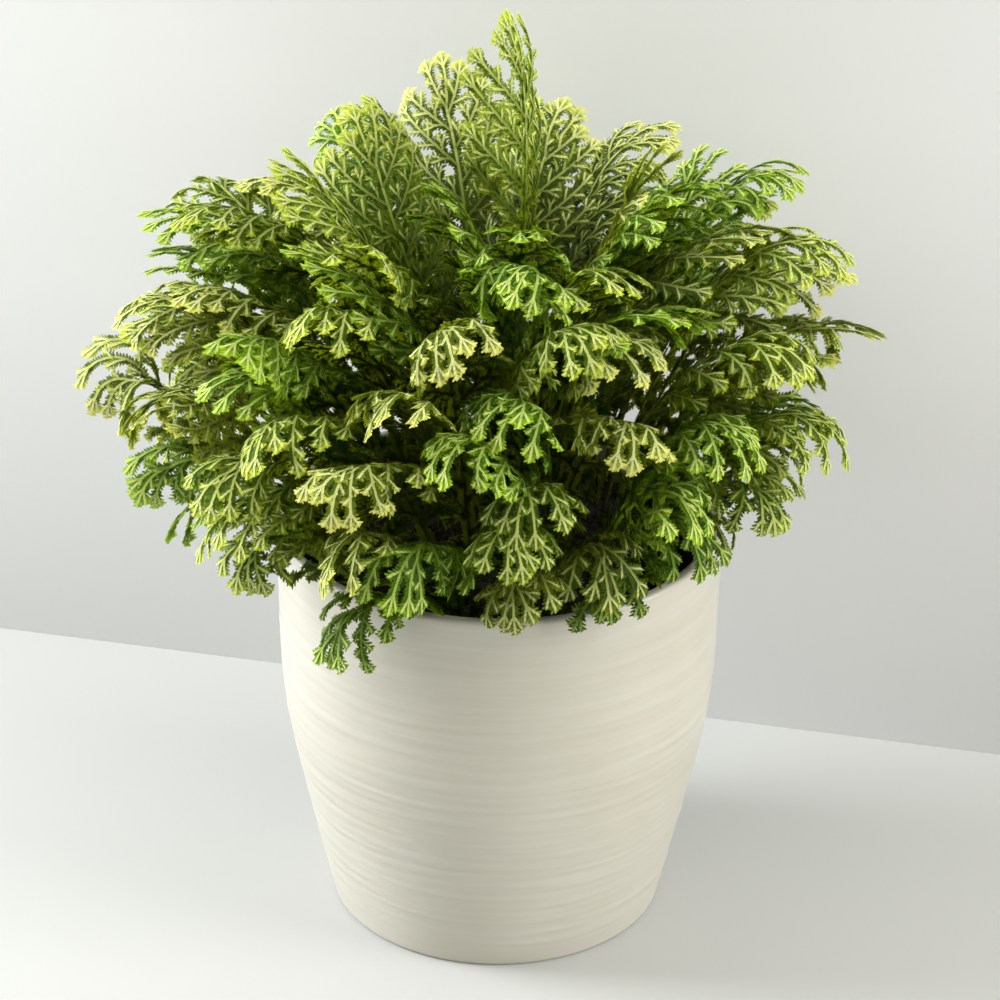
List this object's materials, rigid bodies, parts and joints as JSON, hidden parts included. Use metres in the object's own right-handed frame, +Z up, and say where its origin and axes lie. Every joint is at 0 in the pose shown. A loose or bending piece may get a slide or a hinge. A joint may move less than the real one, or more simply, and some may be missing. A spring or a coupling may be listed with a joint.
{
  "type": "potted frosty fern",
  "caption": "Spike moss with arching, flat forked fronds and pale fan tips, standing in soil in a round white glazed cover pot that narrows to a flat foot.",
  "frame": {"origin": "middle of the pot's flat foot, on the surface that the pot stands on", "axes": "+Z up along the pot's axis; the pictured front faces -Y, +X to the right of that view"},
  "size_m": [0.2815, 0.2541, 0.3264],
  "materials": {
    "pot_glaze": "satin off-white glaze over fine brushed rings",
    "potting_soil": "damp crumbly potting soil",
    "leaf_green_1": "soft matte living leaf with paler tips",
    "leaf_green_2": "soft matte living leaf with paler tips",
    "leaf_green_3": "soft matte living leaf with paler tips"
  },
  "bodies": {
    "root": {"pot": "pot_glaze", "soil": "potting_soil", "stem_01": "leaf_green_1", "stem_02": "leaf_green_2", "stem_03": "leaf_green_3", "stem_04": "leaf_green_1", "stem_05": "leaf_green_2", "stem_06": "leaf_green_3", "stem_07": "leaf_green_1", "stem_08": "leaf_green_2", "stem_09": "leaf_green_3", "stem_10": "leaf_green_1", "stem_11": "leaf_green_2", "stem_12": "leaf_green_3", "stem_13": "leaf_green_1", "stem_14": "leaf_green_2", "stem_15": "leaf_green_3", "stem_16": "leaf_green_1", "stem_17": "leaf_green_2", "stem_18": "leaf_green_3", "stem_19": "leaf_green_1", "stem_20": "leaf_green_2", "stem_21": "leaf_green_3", "stem_22": "leaf_green_1", "stem_23": "leaf_green_2", "stem_24": "leaf_green_3", "stem_25": "leaf_green_1", "stem_26": "leaf_green_2", "stem_27": "leaf_green_3", "stem_28": "leaf_green_1", "stem_29": "leaf_green_2", "stem_30": "leaf_green_3", "stem_31": "leaf_green_1", "stem_32": "leaf_green_2", "stem_33": "leaf_green_3", "stem_34": "leaf_green_1", "stem_35": "leaf_green_2", "stem_36": "leaf_green_3", "stem_37": "leaf_green_1", "stem_38": "leaf_green_2", "stem_39": "leaf_green_3", "stem_40": "leaf_green_1", "stem_41": "leaf_green_2", "stem_42": "leaf_green_3", "stem_43": "leaf_green_1", "stem_44": "leaf_green_2", "stem_45": "leaf_green_3", "stem_46": "leaf_green_1", "stem_47": "leaf_green_2", "stem_48": "leaf_green_3", "stem_49": "leaf_green_1", "stem_50": "leaf_green_2", "stem_51": "leaf_green_3", "stem_52": "leaf_green_1"}
  },
  "joints": []
}
